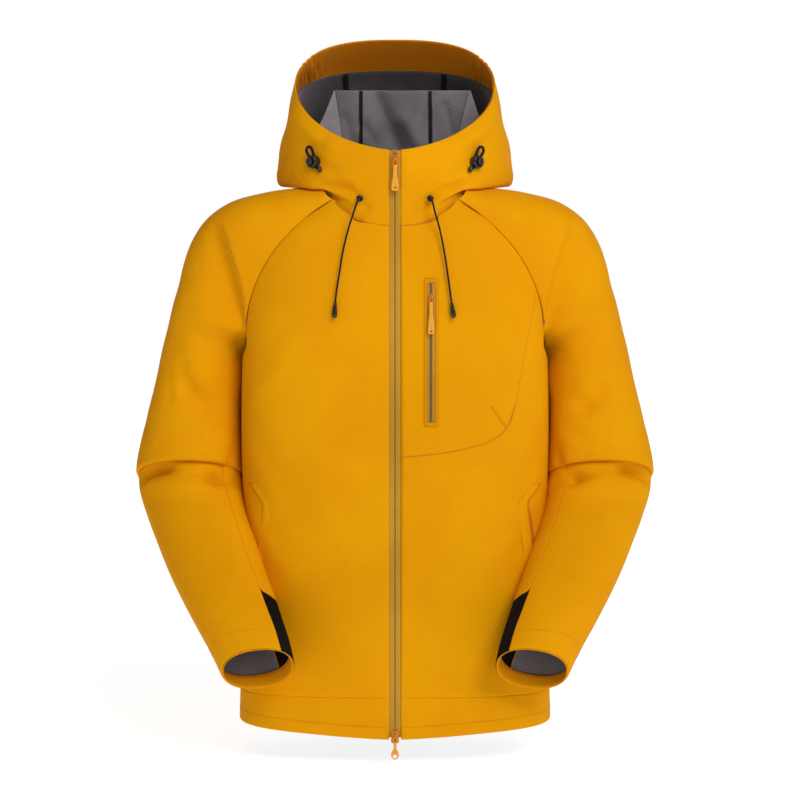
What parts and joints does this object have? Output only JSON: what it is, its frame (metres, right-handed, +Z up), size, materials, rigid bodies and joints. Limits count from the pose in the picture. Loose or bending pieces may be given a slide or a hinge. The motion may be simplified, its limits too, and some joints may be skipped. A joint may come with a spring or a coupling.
{
  "type": "ski jacket",
  "caption": "Hooded softshell ski jacket with a two-way front zip, curved chest seam with zipped pocket, raglan sleeves, hood drawcords with cord locks, and stretch cuff gussets.",
  "frame": {"origin": "middle of the hanger loop inside the back of the neck", "axes": "+Z up the jacket, front faces -Y, +X towards the wearer's left"},
  "size_m": [0.7298, 0.3967, 1.0024],
  "materials": {
    "shell": "golden mustard bonded softshell with a fine matt weave",
    "stretch": "black stretch knit",
    "fleece": "grey brushed fleece",
    "mesh": "dark pocket mesh",
    "zip_tape": "khaki-gold woven tape",
    "zip_teeth": "moulded coil",
    "slider": "painted to match the shell",
    "pull": "moulded, amber orange",
    "cord": "black braided cord",
    "black_plastic": "black moulded plastic"
  },
  "bodies": {
    "torso": {"front_panel_right": "shell", "front_panel_left": "shell", "chest_panel_left": "shell", "back_panel": "shell", "shoulder_panel_right": "shell", "shoulder_panel_left": "shell", "hem_band_front_right": "shell", "hem_band_front_left": "shell", "hem_band_back": "shell", "collar_front_right": "shell", "collar_front_left": "shell", "neck_band": "shell", "storm_flap": "shell", "hand_pocket_welts": "shell", "chest_zip_frame": "shell", "side_panel_right": "stretch", "side_panel_left": "stretch", "chest_pocket_bag": "mesh", "hand_pocket_bags": "mesh", "zip_tape_right": "zip_tape", "zip_tape_left": "zip_tape", "chest_zip_tape": "zip_tape", "zip_teeth_right": "zip_teeth", "zip_teeth_left": "zip_teeth", "zip_stops": "zip_teeth", "chest_zip_teeth": "zip_teeth", "drawcord_right": "cord", "drawcord_left": "cord", "hanger_loop": "cord", "drawcord_eyelets": "black_plastic", "cord_end_right": "black_plastic", "cord_end_left": "black_plastic"},
    "hood": {"hood_side_right": "shell", "hood_side_left": "shell", "hood_crown": "shell", "hood_facing": "shell", "hood_lining": "fleece", "hood_inner_stand": "fleece", "cord_lock_body_right": "black_plastic", "cord_lock_body_left": "black_plastic", "cord_lock_loops": "cord"},
    "upper_sleeve_right": {"sleeve_upper_right": "shell"},
    "upper_sleeve_left": {"sleeve_upper_left": "shell"},
    "forearm_right": {"forearm_panel_right": "shell", "forearm_under_panel_right": "shell", "cuff_gusset_right": "stretch", "cuff_facing_right": "shell"},
    "forearm_left": {"forearm_panel_left": "shell", "forearm_under_panel_left": "shell", "cuff_gusset_left": "stretch", "cuff_facing_left": "shell"},
    "upper_slider": {"main_slider": "slider"},
    "upper_pull": {"main_pull": "pull"},
    "bottom_slider": {"lower_slider": "slider"},
    "bottom_pull": {"lower_pull": "pull"},
    "chest_slider": {"chest_slider": "slider"},
    "chest_pull": {"chest_pull": "pull"},
    "lock_button_right": {"cord_lock_button_right": "black_plastic"},
    "lock_button_left": {"cord_lock_button_left": "black_plastic"}
  },
  "joints": [
    {"name": "front_zip_slide", "type": "slide", "parent": "torso", "child": "upper_slider", "axis": [0, 0, -1], "range_m": [0, 0.56]},
    {"name": "front_pull_swing", "type": "hinge", "parent": "upper_slider", "child": "upper_pull", "pos_m": [0, -0.2045, 0.039], "axis": [-1, 0, 0], "range_deg": [0, 150]},
    {"name": "bottom_zip_slide", "type": "slide", "parent": "torso", "child": "bottom_slider", "axis": [0, 0, 1], "range_m": [0, 0.12]},
    {"name": "bottom_pull_swing", "type": "hinge", "parent": "bottom_slider", "child": "bottom_pull", "pos_m": [0, -0.2045, -0.748], "axis": [-1, 0, 0], "range_deg": [0, 150]},
    {"name": "chest_zip_slide", "type": "slide", "parent": "torso", "child": "chest_slider", "axis": [0, 0, -1], "range_m": [0, 0.15]},
    {"name": "chest_pull_swing", "type": "hinge", "parent": "chest_slider", "child": "chest_pull", "pos_m": [0.049, -0.20405, -0.147], "axis": [-1, 0, 0], "range_deg": [0, 150]},
    {"name": "hood_tilt", "type": "hinge", "parent": "torso", "child": "hood", "pos_m": [0, -0.0575, 0.013], "axis": [-1, 0, 0], "range_deg": [0, 15]},
    {"name": "cord_lock_press_right", "type": "slide", "parent": "hood", "child": "lock_button_right", "axis": [0.5892, 0.808, -0.0077], "range_m": [0, 0.003], "stiffness_N_per_m": 400, "springref_m": -0.003},
    {"name": "shoulder_swing_right", "type": "hinge", "parent": "torso", "child": "upper_sleeve_right", "pos_m": [-0.196, -0.0755, -0.14], "axis": [0, 1, 0], "range_deg": [0, 30]},
    {"name": "elbow_bend_right", "type": "hinge", "parent": "upper_sleeve_right", "child": "forearm_right", "pos_m": [-0.288, -0.0755, -0.4], "axis": [-1, 0, 0], "range_deg": [0, 30]},
    {"name": "cord_lock_press_left", "type": "slide", "parent": "hood", "child": "lock_button_left", "axis": [-0.5892, 0.808, -0.0077], "range_m": [0, 0.003], "stiffness_N_per_m": 400, "springref_m": -0.003},
    {"name": "shoulder_swing_left", "type": "hinge", "parent": "torso", "child": "upper_sleeve_left", "pos_m": [0.196, -0.0755, -0.14], "axis": [0, -1, 0], "range_deg": [0, 30]},
    {"name": "elbow_bend_left", "type": "hinge", "parent": "upper_sleeve_left", "child": "forearm_left", "pos_m": [0.288, -0.0755, -0.4], "axis": [-1, 0, 0], "range_deg": [0, 30]}
  ]
}
